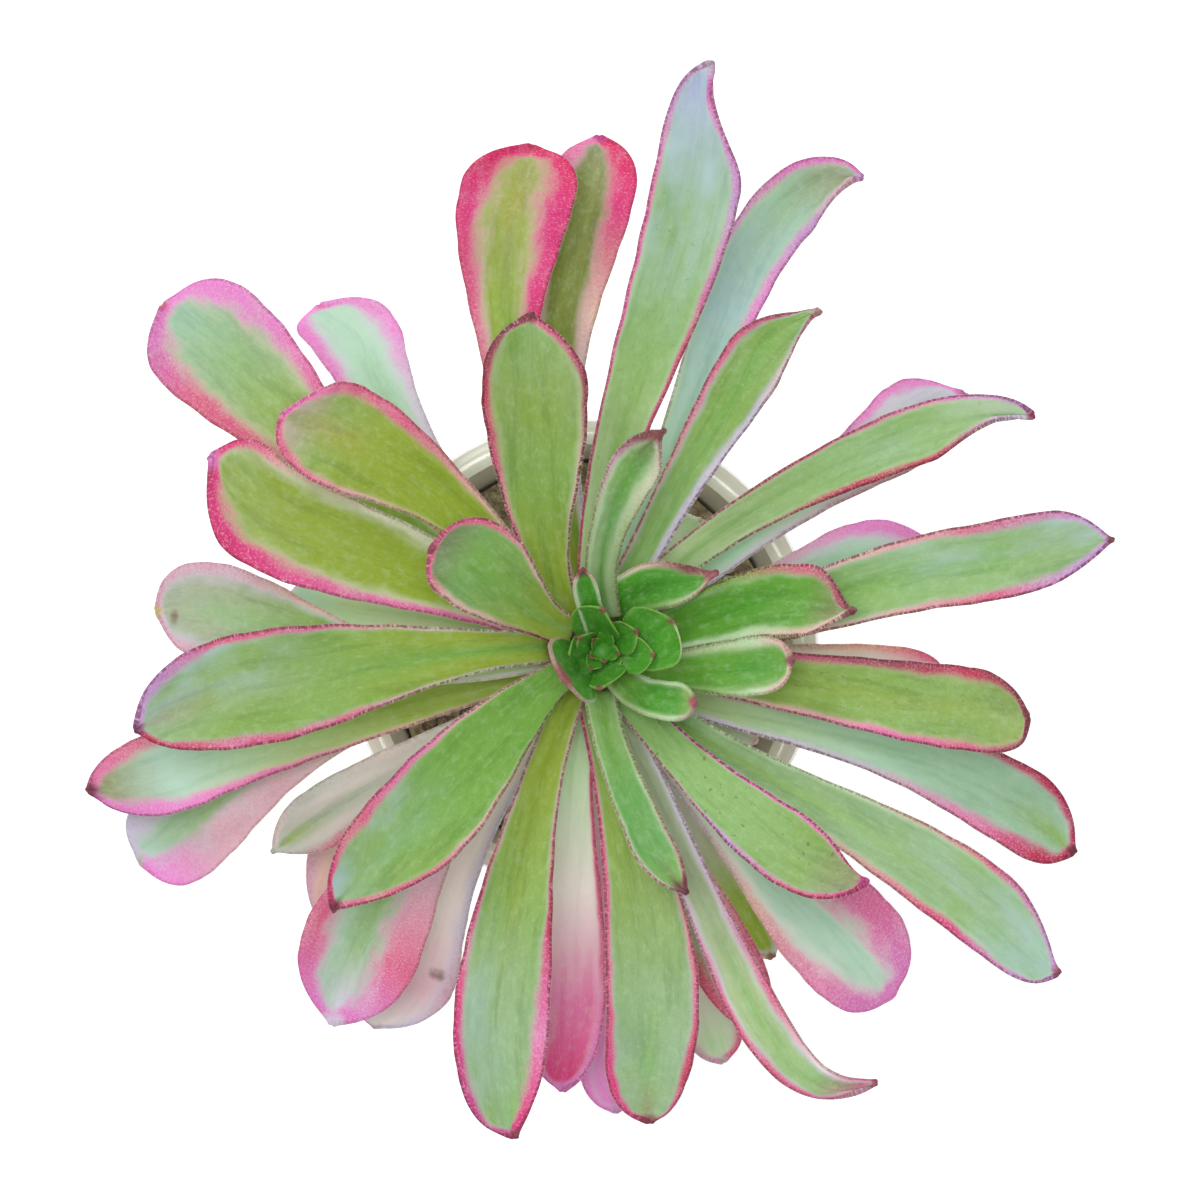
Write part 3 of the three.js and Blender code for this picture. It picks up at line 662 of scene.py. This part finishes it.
def leaf_skin():
    """The surface that all leaves share: a streaked green with a waxy bloom and a painted bluish
    sky sheen over it, a pale halo, a grained band along each margin, a dark end, a thin dotted
    outline, brown specks and a scar. The blades carry the tones and distances. band and halo are 0
    at the margin and 1 where each ends, tip is the same from the end, and scar from the middle of
    the scar."""
    material = plain_material("leaf skin", "leaf", 0.5)
    tree = material.node_tree
    place = attribute(tree, "skin", "Vector")
    given = {name: attribute(tree, name) for name in SKIN_VALUES}
    green, pale, tint, tipped = (attribute(tree, name, "Vector") for name in SKIN_TONES)
    streaks, fine, mottle, grain, patches, ragged, dots = (
        noise(tree, stretch(tree, place, scales), 1, detail, rough)
        for scales, detail, rough in SKIN_NOISES.values()
    )

    deeper = blend(tree, 0.42, green, green, "MULTIPLY")
    green = overlay(tree, green, (
        (streaks, 0.46, 0.7, 0.7, deeper),
        (mottle, 0.52, 0.7, 0.3, deeper),
        (mottle, 0.5, 0.32, 0.14, "milk"),
        # Fine pale specks: painted highlights of the leaf's tiny papillae.
        (fine, 0.5, 0.7, 0.07, "milk"),
    ))
    # Waxy bloom with a painted bluish sky sheen over it, on the outer part of the leaf and leaning
    # to one side.
    frost = times(tree, between(tree, patches, 0.3, 0.72, 0.1, 0.8), given["frost"])
    frost = times(tree, frost, between(tree, given["along"], 0.4, 0.85))
    green = blend(tree, frost, green, "frost")

    wander = between(tree, ragged, 0.25, 0.75, -WANDER, WANDER)
    halo = between(tree, plus(tree, given["halo"], wander), 0.35, 1.35, 1, 0)
    colour = blend(tree, times(tree, halo, given["milky"]), green, pale)

    rich = blend(tree, 0.55, tint, tint, "MULTIPLY")
    band = plus(tree, given["band"], wander)
    tint = overlay(tree, tint, (
        (patches, 0.5, 0.3, 0.28, pale),
        (band, 0.7, 0.1, 0.3, rich),
        (mottle, 0.5, 0.72, 0.3, rich),
        (grain, 0.48, 0.66, 0.7, rich),
        (grain, 0.46, 0.3, 0.35, pale),
    ))
    colour = blend(tree, between(tree, band, 0.5, 1.5, 1, 0), colour, tint)
    end = plus(tree, given["tip"], wander)
    colour = blend(tree, between(tree, end, 0.3, 1.3, 0.9, 0), colour, tipped)

    line = between(tree, given["margin"], 0.05, 0.28, 1, 0)
    line = times(tree, line, between(tree, grain, 0.36, 0.56, 0.15, 1))
    colour = blend(tree, times(tree, line, given["rim"]), colour, "maroon")
    specks = times(tree, between(tree, dots, 0.7, 0.74), given["specks"])
    scar = between(tree, plus(tree, given["scar"], wander), 0.4, 1.2, 0.75, 0)
    colour = blend(tree, reckon(tree, "MAXIMUM", specks, scar), colour, "brown")

    normal = node(tree, "ShaderNodeNewGeometry", {})["Normal"]
    upward = node(tree, "ShaderNodeSeparateXYZ", {0: normal})[2]
    colour = blend(tree, between(tree, upward, -0.15, 0.1, 0.3, 0), colour, "celery")
    surface(material, {
        "Base Color": colour,
        "Roughness": between(tree, grain, 0.3, 0.7, 0.44, 0.6),
        "Normal": bumps(tree, reckon(tree, "MULTIPLY_ADD", fine, 0.7, grain), 0.4, 0.07),
        "Specular IOR Level": 0.35,
        "Subsurface Weight": 0.15,
        "Subsurface Radius": (0.9, 1, 0.6),
        "Subsurface Scale": 0.7 * MM,
    })
    return material


LEAF_SKIN = leaf_skin()
HAIR = plain_material("leaf hairs", "c6d4a6", 0.6)


# Leaves. ring is how far from the stem's middle a leaf starts, and narrow its width there. middle
# and edge are its thicknesses, wave, channel and groove how strongly it bends across, phase where
# its waves start, hair and point the sizes of its hairs and tip, and seat the place of its root.
Shape = namedtuple(
    "Shape", "ring narrow middle edge wave phase channel groove hair point seat seed"
)


def outline_distance(x, y, edge_x, edge_y):
    """How far points lie inside an outline, in mm, and the outline is a row of short segments."""
    ax, ay = edge_x[:-1], edge_y[:-1]
    dx, dy = np.diff(edge_x), np.diff(edge_y)
    length = dx * dx + dy * dy + 1e-12
    share = ((x[:, None] - ax) * dx + (y[:, None] - ay) * dy) / length
    share = np.clip(share, 0, 1)
    away = np.hypot(x[:, None] - ax - share * dx, y[:, None] - ay - share * dy)
    return away.min(axis=1)


def write_attributes(mesh, kind, key, size, given):
    """Writes numbers, or tones of three, on a mesh's points. What all share is told once."""
    for name, values in given.items():
        rows = np.reshape(np.asarray(values, dtype=np.float32), (-1, size))
        rows = np.broadcast_to(rows, (len(mesh.vertices), size))
        layer = mesh.attributes.new(name, kind, "POINT")
        layer.data.foreach_set(key, np.array(rows).ravel())


def tones_along(words, along):
    """The named tones at their places on a leaf, and blended in between."""
    tones = np.array([linear(word)[:3] for word in four(words)])
    return np.stack([np.interp(along, PLACES, tones[:, part]) for part in range(3)], axis=1)


def shares_along(words, along):
    return np.interp(along, PLACES, [float(word) / 100 for word in four(words)])


def paint(mesh, finish, seed, points, x, y, margin):
    """Writes a leaf's looks on its points, as tones and as distances. x and y are where a point
    lies along and across the leaf, and margin how far it lies from the outline, in mm."""
    along, lane, _, opened, _ = points
    spine = np.exp(-((lane / SPINE_SHARE) ** 2))[:, None]
    flesh = tones_along(finish.flesh, along) * (1 - spine)
    flesh += tones_along(finish.spine, along) * spine
    leftness = np.clip(lane * 2 + 0.5, 0, 1)
    left, right = (tones_along(side[0::2], along) for side in (finish.left, finish.right))
    tint = right + (left - right) * leftness[:, None]
    left, right = (shares_along(side[1::2], along) for side in (finish.left, finish.right))
    width = right + (left - right) * leftness
    inside = np.minimum((1 - np.abs(lane)) / 2, margin * END_BAND / opened)
    pale, halo = finish.halo[0], float(finish.halo[1])
    end, end_size = finish.tip[0], float(finish.tip[1])
    # The bloom and its painted sky sheen are stronger on one side of the leaf.
    leaning_bloom_and_sheen = finish.frost * np.clip(1 + 2 * finish.lean * lane, 0, 2)
    scar_x, scar_y, scar_size = finish.scar
    write_attributes(mesh, "FLOAT_VECTOR", "vector", 3, {
        "flesh": flesh,
        "tint": tint,
        "pale": linear(pale)[:3],
        "tipped": linear(end)[:3],
        "skin": np.stack([y, x, np.full(len(x), seed * SKIN_STEP)], axis=1),
    })
    write_attributes(mesh, "FLOAT", "value", 1, {
        "along": along,
        "margin": margin,
        "band": inside / width,
        "halo": inside / (width + halo / 100),
        "milky": min(0.75, max(0.25, halo / 11)),
        "tip": np.hypot(x.max() - x, y) / end_size,
        "frost": np.clip(leaning_bloom_and_sheen, 0, 1),
        "rim": finish.rim,
        "specks": finish.specks,
        "scar": np.hypot(x - scar_x, y - scar_y) / scar_size,
    })


def height_off_midrib(shape, length, along, lane, half):
    """How far a place on the blade stands above its midrib: the channel, waves and midline."""
    swing = 2 * math.pi * along * length / WAVE_LENGTH + shape.phase
    small = 2 * math.pi * along * length / RIPPLE_LENGTH + shape.phase * 3 + lane
    sideways = abs(lane) * lane * shape.wave * smooth(along * 2)
    rise = shape.channel * half * 2 * lane * lane
    rise += sideways * (WAVE_HEIGHT * math.sin(swing) + RIPPLE_HEIGHT * math.sin(small))
    rise -= shape.groove * math.exp(-((lane / GROOVE_SHARE) ** 2)) * smooth(along * 3)
    return rise


def bend_grid(mesh, form, shape, length, places, halves, spread):
    """Bends a flat grid to a leaf's form. It returns how far along and across the leaf each point
    is, and half its width, its width before the tip closes it and its thickness there."""
    frames = [frame_at(form, shape.ring, along) for along in places]
    wobble = [spread.uniform(0, FULL_TURN) for _ in range(4)]
    phases = {1: (wobble[1], wobble[2]), -1: (wobble[3], wobble[0])}
    points = []
    for vertex in mesh.vertices:
        row = round((vertex.co.x + 1) / 2 * ROWS)
        lane = vertex.co.y
        sign = 1 if lane > 0 else -1
        along = places[row]
        middle, forward, side, up = frames[row]
        half = halves[sign][row]
        uneven = sum(
            share * math.sin(along * length * pitch + phase)
            for (share, pitch), phase in zip(UNEVENNESS, phases[sign])
        )
        out = lane * half * (1 + uneven * (1 - along**6))
        vertex.co = middle + side * out + up * height_off_midrib(shape, length, along, lane, half)
        if row == ROWS:
            vertex.co += forward * shape.point - side * out * 0.5
        thickness = shape.middle * (1 - BLADE_TAPER * along * along)
        thickness = shape.edge + (thickness - shape.edge) * (1 - lane * lane)
        points.append((along, lane, half, open_width(form, along, shape.narrow), thickness))
    return np.array(points).T


def thicken(piece, thickness, seat):
    """Seats a bent blade on the stem, gives it its thickness and rounds its edge."""
    thickest = float(thickness.max())
    group = piece.vertex_groups.new(name="thickness")
    for index, value in enumerate(thickness):
        group.add([index], float(value) / thickest, "REPLACE")
    for vertex in piece.data.vertices:
        vertex.co = (vertex.co + seat) * MM
    solid = piece.modifiers.new("thickness", "SOLIDIFY")
    solid.thickness = thickest * MM
    solid.offset = 0
    solid.vertex_group = "thickness"
    solid.use_quality_normals = True
    rounding = piece.modifiers.new("rounding", "SUBSURF")
    rounding.levels = 1
    rounding.render_levels = 1
    apply_all(piece)
    bpy.ops.object.shade_smooth()


def blade(name, form, shape, finish):
    """One leaf: a grid bent to the leaf's form, painted, thickened and haired."""
    bpy.ops.mesh.primitive_grid_add(x_subdivisions=ROWS, y_subdivisions=LANES, size=2)
    piece = bpy.context.object
    piece.name = name
    length = midrib_length(form, shape.ring)
    places = [1 - (1 - row / ROWS) ** ROW_CROWDING for row in range(ROWS + 1)]
    halves = {
        sign: [half_width(form, along, shape.narrow, sign) for along in places]
        for sign in (1, -1)
    }
    spread = random.Random(shape.seed)
    points = bend_grid(piece.data, form, shape, length, places, halves, spread)
    along, lane, half, _, thickness = points
    x = along * length
    y = lane * half
    upward = [place * length for place in places]
    edge_x = np.array(upward + [length] + upward[::-1])
    edge_y = np.array(halves[1] + [0] + [-half for half in halves[-1][::-1]])
    paint(piece.data, finish, shape.seed, points, x, y, outline_distance(x, y, edge_x, edge_y))
    thicken(piece, thickness, shape.seat)
    piece.data.materials.append(LEAF_SKIN)
    hairs = margin_hairs(name, form, shape, length, spread)
    return join([piece, hairs], name)


def margin_hairs(name, form, shape, length, spread):
    """Short pale hairs along both margins, each a three-sided spike."""
    corners = []
    faces = []
    steps = int(length / HAIR_SPACING)
    for step in range(int(steps * HAIR_START), steps):
        for sign in (-1, 1):
            shift, climb, ahead, lift, growth = (spread.uniform(*ends) for ends in HAIR_SCATTER)
            along = clamp((step + shift) / steps)
            middle, forward, side, up = frame_at(form, shape.ring, along)
            half = half_width(form, along, shape.narrow, sign)
            nearby = half_width(form, clamp(along + SLOPE_STEP), shape.narrow, sign)
            slope = (nearby - half) / (SLOPE_STEP * length)
            out = (side * sign - forward * slope).normalized()
            rise = height_off_midrib(shape, length, along, sign, half)
            foot = middle + side * sign * (half - HAIR_SUNK) + shape.seat
            foot = foot + up * (rise + climb)
            tilt = out + forward * ahead + up * lift
            end = foot + tilt.normalized() * HAIR_LENGTH * shape.hair * growth
            start = len(corners)
            for turn in range(3):
                angle = turn * 2 * math.pi / 3
                corner = forward * math.cos(angle) + up * math.sin(angle)
                corners.append((foot + corner * HAIR_WIDTH * shape.hair) * MM)
            corners.append(end * MM)
            faces += [(start + k, start + (k + 1) % 3, start + 3) for k in range(3)]
    mesh = bpy.data.meshes.new(name + "_hairs")
    mesh.from_pydata(corners, [], faces)
    mesh.materials.append(HAIR)
    hairs = add_object(name + "_hairs", mesh)
    face_outward(hairs)
    return hairs


def grow_leaves():
    for rank, (form, finish) in enumerate(zip(LEAVES, LOOKS)):
        youth = max(0, 1 - rank / YOUNG_LEAVES)
        middle = stem_middle(HEIGHTS[rank])
        node_name = f"leaf_{rank + 1:02d}"
        shape = Shape(
            ring=stem_radius(HEIGHTS[rank] - BLADE_MIDDLE) - ROOT_SUNK,
            narrow=ROOT_WIDTH,
            middle=lerp(BLADE_MIDDLE, YOUNG_BLADE_MIDDLE, youth),
            edge=BLADE_EDGE,
            wave=1 - youth,
            phase=rank * WAVE_TURN,
            channel=CHANNEL_DEPTH,
            groove=GROOVE_DEPTH,
            hair=1,
            point=TIP_POINT,
            seat=Vector((middle.x, middle.y, HEIGHTS[rank])),
            seed=rank + 1,
        )
        piece = blade(f"{node_name}_blade", form, shape, finish)
        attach(piece, "root")
        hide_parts(node_name)


def heart_core(middle):
    place = Vector((middle.x, middle.y, STEM_TOP + SEAT_GAP + HEART_CORE_RADIUS)) * MM
    bpy.ops.mesh.primitive_uv_sphere_add(
        segments=24, ring_count=16, radius=HEART_CORE_RADIUS * MM, location=place
    )
    bpy.ops.object.shade_smooth()
    core = bpy.context.object
    core.data.materials.append(mottled_material("heart core", "deep", "vivid", 900, 0.5, 0.05))
    return core


def grow_heart():
    """The small leaves that have not opened yet, each cupped round the ones inside it."""
    middle = stem_middle(STEM_TOP)
    pieces = []
    for number, form in enumerate(HEART_LEAVES):
        inner = number >= HEART_OUTER
        flat = number == HEART_FLAT
        shape = Shape(
            ring=0.3 if inner else 0.8,
            narrow=0.9 if inner else 2.4,
            middle=0.5 if inner else 0.8,
            edge=0.14 if inner else 0.5 if flat else 0.18,
            wave=0.35,
            phase=number,
            channel=0.03 if flat else 0.2,
            groove=0.08,
            hair=0.5,
            point=0.15,
            seat=Vector((middle.x, middle.y, STEM_TOP + SEAT_GAP + HEART_FLOOR)),
            seed=HEART_SEED + number,
        )
        finish = HEART_LOOKS[min(number, 3)]
        pieces.append(blade(f"heart_leaf_{number}", form, shape, finish))
    heart = join([*pieces, heart_core(middle)], "heart")
    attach(heart, "root")
    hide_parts("heart_bud")


# Stem, soil and pot


def bark_depth(angle, height):
    """How far the bark of the bare stem lies back, with scars in slanting rows and wrinkles."""
    bare = smooth((height - SOIL_TOP) / BARK_FADE_IN)
    bare *= smooth((BARK_END - height) / BARK_FADE_OUT)
    turns = angle / (2 * math.pi) * SCAR_ROWS + height * SCAR_PITCH
    slant = height * SCAR_SLANT[1] + angle * SCAR_SLANT[0]
    scar = math.cos(2 * math.pi * turns) * math.cos(slant)
    wrinkle = sum(
        depth * math.sin(angle * waves + height * pitch) for depth, waves, pitch in WRINKLES
    )
    return bare * (SCAR_DEPTH * max(0, scar) + BARK_DEPTH + wrinkle)


def shape_stem():
    foot = SOIL_TOP - STEM_HOLE_DEPTH + SEAT_GAP
    bpy.ops.mesh.primitive_cylinder_add(
        vertices=STEM_SIDES, radius=1, depth=1, end_fill_type="TRIFAN"
    )
    piece = bpy.context.object
    piece.name = "bark"
    mesh = bmesh.new()
    mesh.from_mesh(piece.data)
    upright = [e for e in mesh.edges if abs(e.verts[0].co.z - e.verts[1].co.z) > 0.5]
    bmesh.ops.subdivide_edges(mesh, edges=upright, cuts=STEM_RINGS - 1, use_grid_fill=True)
    for vertex in mesh.verts:
        height = lerp(foot, STEM_TOP, vertex.co.z + 0.5)
        angle = math.atan2(vertex.co.y, vertex.co.x)
        middle = stem_middle(height)
        radius = stem_radius(height) * Vector((vertex.co.x, vertex.co.y)).length
        radius -= bark_depth(angle, height)
        vertex.co = Vector((
            middle.x + radius * math.cos(angle),
            middle.y + radius * math.sin(angle),
            height,
        )) * MM
    mesh.to_mesh(piece.data)
    mesh.free()
    only(piece)
    bpy.ops.object.shade_smooth_by_angle(angle=math.radians(50))
    piece.data.materials.append(mottled_material("bark", "5d4a37", "9a8468", 260, 0.85, 0.3))
    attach(piece, "root")
    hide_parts("stem")


def angular_grain(spread):
    bpy.ops.mesh.primitive_ico_sphere_add(subdivisions=2, radius=1)
    pattern = bpy.context.object
    pattern.name = "grain"
    for vertex in pattern.data.vertices:
        vertex.co *= 1 + spread.uniform(-GRAIN_DENT, GRAIN_DENT)
    return pattern


def grit_material(number, tone):
    darker = "".join(f"{int(int(tone[i:i + 2], 16) * GRAIN_SHADE):02x}" for i in (0, 2, 4))
    return mottled_material(f"grit {number}", darker, tone, 2200, 0.9, 0.1)


def scatter_grit():
    """Loose angular grains on the soil, modelled once and copied in several tones."""
    spread = random.Random(GRAIN_SEED)
    pattern = angular_grain(spread)
    outer = pot_inner(SOIL_TOP) - GRIT_WALL_GAP
    grains = [bmesh.new() for _ in GRAIN_TONES]
    for number in range(GRAIN_COUNT):
        size = spread.uniform(*GRAIN_SIZES)
        distance = math.sqrt(spread.uniform(*GRAIN_SPREAD)) * outer
        if distance < STEM_RADIUS + GRIT_STEM_GAP:
            continue
        angle = spread.uniform(0, 2 * math.pi)
        lift = SOIL_TOP + spread.uniform(*GRAIN_LIFTS)
        spot = Matrix.Translation((distance * math.cos(angle), distance * math.sin(angle), lift))
        turn = Matrix.Rotation(spread.uniform(0, FULL_TURN), 4, GRAIN_AXIS)
        width = size * spread.uniform(*GRAIN_WIDTHS)
        flat = Matrix.Diagonal((size, width, size * GRAIN_FLATNESS, 1))
        heap = grains[number % len(grains)]
        start = len(heap.verts)
        heap.from_mesh(pattern.data)
        heap.verts.ensure_lookup_table()
        matrix = Matrix.Scale(MM, 4) @ spot @ turn @ flat
        bmesh.ops.transform(heap, matrix=matrix, verts=heap.verts[start:])
    bpy.data.objects.remove(pattern)
    pieces = []
    for number, (heap, tone) in enumerate(zip(grains, GRAIN_TONES)):
        data = bpy.data.meshes.new(f"grains_{number}")
        heap.to_mesh(data)
        heap.free()
        data.materials.append(grit_material(number, tone))
        pieces.append(add_object(f"grains_{number}", data))
    grit = join(pieces, "grit")
    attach(grit, "root")
    soil = bpy.data.objects["soil"]
    soil.data.materials.clear()
    soil.data.materials.append(mottled_material("gritty soil", "7c6a54", "b9a98f", 900, 0.95, 0.4))


def pot_outer(height):
    waist = POT_RIM_RADIUS - POT_RIM_STEP - POT_WAIST_STEP
    return lerp(POT_FOOT_RADIUS, waist, height / (POT_HEIGHT - POT_RIM_HEIGHT))


def pot_inner(height):
    return pot_outer(height) - POT_WALL


def drill_holes(piece):
    for number in range(DRAIN_HOLE_COUNT):
        angle = 2 * math.pi * number / DRAIN_HOLE_COUNT
        place = (DRAIN_HOLE_RING * math.cos(angle) * MM, DRAIN_HOLE_RING * math.sin(angle) * MM, 0)
        bpy.ops.mesh.primitive_cylinder_add(
            vertices=32, radius=DRAIN_HOLE_RADIUS * MM, depth=POT_FLOOR * 3 * MM, location=place
        )
        drill = bpy.context.object
        cut = piece.modifiers.new("drain hole", "BOOLEAN")
        cut.operation = "DIFFERENCE"
        cut.object = drill
        apply_all(piece)
        bpy.data.objects.remove(drill)


def throw_pot():
    """The pot's profile, with rounded corners, turned round its axis and drilled."""
    rim_bottom = POT_HEIGHT - POT_RIM_HEIGHT
    inner = POT_RIM_RADIUS - POT_WALL - 0.4
    profile = [
        (0.02, 0),
        (POT_FOOT_RADIUS - 0.8, 0),
        (POT_FOOT_RADIUS - 0.2, 0.25),
        (POT_FOOT_RADIUS + 0.05, 0.9),
        (pot_outer(rim_bottom), rim_bottom - 0.6),
        (POT_RIM_RADIUS - 0.8, rim_bottom),
        (POT_RIM_RADIUS - 0.2, rim_bottom + 0.25),
        (POT_RIM_RADIUS, rim_bottom + 0.9),
        (POT_RIM_RADIUS, POT_HEIGHT - 1.3),
        (POT_RIM_RADIUS - 0.3, POT_HEIGHT - 0.5),
        (POT_RIM_RADIUS - 1.1, POT_HEIGHT),
        (inner + 0.8, POT_HEIGHT),
        (inner + 0.15, POT_HEIGHT - 0.3),
        (inner - 0.05, POT_HEIGHT - 1),
        (pot_inner(rim_bottom + 2), rim_bottom + 2),
        (pot_inner(POT_FLOOR + 1), POT_FLOOR + 1),
        (pot_inner(POT_FLOOR) - 0.8, POT_FLOOR),
        (0.02, POT_FLOOR),
    ]
    data = bpy.data.meshes.new("pot")
    corners = [(radius * MM, 0, height * MM) for radius, height in profile]
    data.from_pydata(corners, [(i, i + 1) for i in range(len(corners) - 1)], [])
    piece = add_object("glazed_pot", data)
    turn = piece.modifiers.new("turn", "SCREW")
    turn.steps = POT_SIDES
    turn.render_steps = POT_SIDES
    turn.use_merge_vertices = True
    turn.merge_threshold = 1e-6
    apply_all(piece)
    face_outward(piece, weld=0.03)
    drill_holes(piece)
    only(piece)
    bpy.ops.object.shade_smooth_by_angle(angle=math.radians(35))
    glaze = mottled_material("glaze", "e0dacd", "eeeae0", 60, 0.28, 0.02, detail=3)
    surface(glaze, {"Coat Weight": 0.4, "Coat Roughness": 0.12})
    piece.data.materials.clear()
    piece.data.materials.append(glaze)
    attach(piece, "root")
    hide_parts("pot")


# Floor, light and camera


def lay_floor():
    bpy.ops.mesh.primitive_plane_add(size=6)
    floor = bpy.context.object
    floor.name = "floor"
    material = plain_material("pale floor", "fbfbfb", 0.9)
    surface(material, {
        "Specular IOR Level": 0,
        "Emission Color": (1, 1, 1, 1),
        "Emission Strength": 0.6,
    })
    floor.data.materials.append(material)


def area_light(name, size, power, place, target=(0, 0, 0.09)):
    data = bpy.data.lights.new(name, "AREA")
    data.shape = "DISK"
    data.size = size
    data.energy = power
    lamp = add_object(name, data)
    lamp.location = place
    lamp.rotation_euler = (Vector(target) - Vector(place)).to_track_quat("-Z", "Y").to_euler()


def set_light():
    world = bpy.data.worlds.new("studio")
    world.use_nodes = True
    backdrop = world.node_tree.nodes["Background"]
    feed(world.node_tree, backdrop, {"Color": (1, 1, 1, 1), "Strength": 0.4})
    bpy.context.scene.world = world
    area_light("overhead", size=0.5, power=9, place=(-0.08, 0.1, 1.5))
    area_light("key", size=0.6, power=4.5, place=(-0.6, 0.7, 1.1))
    bpy.context.scene.view_settings.view_transform = "Standard"


def set_camera():
    data = bpy.data.cameras.new("camera")
    data.sensor_width = SENSOR_WIDTH
    data.lens = SENSOR_WIDTH * VIEW_DISTANCE / VIEW_WIDTH
    data.clip_end = 10
    camera = add_object("camera", data)
    x, y, z = VIEW_MIDDLE
    camera.location = (x * MM, y * MM, (z + VIEW_DISTANCE) * MM)
    bpy.context.scene.camera = camera


grow_leaves()
grow_heart()
shape_stem()
scatter_grit()
throw_pot()
lay_floor()
set_light()
set_camera()
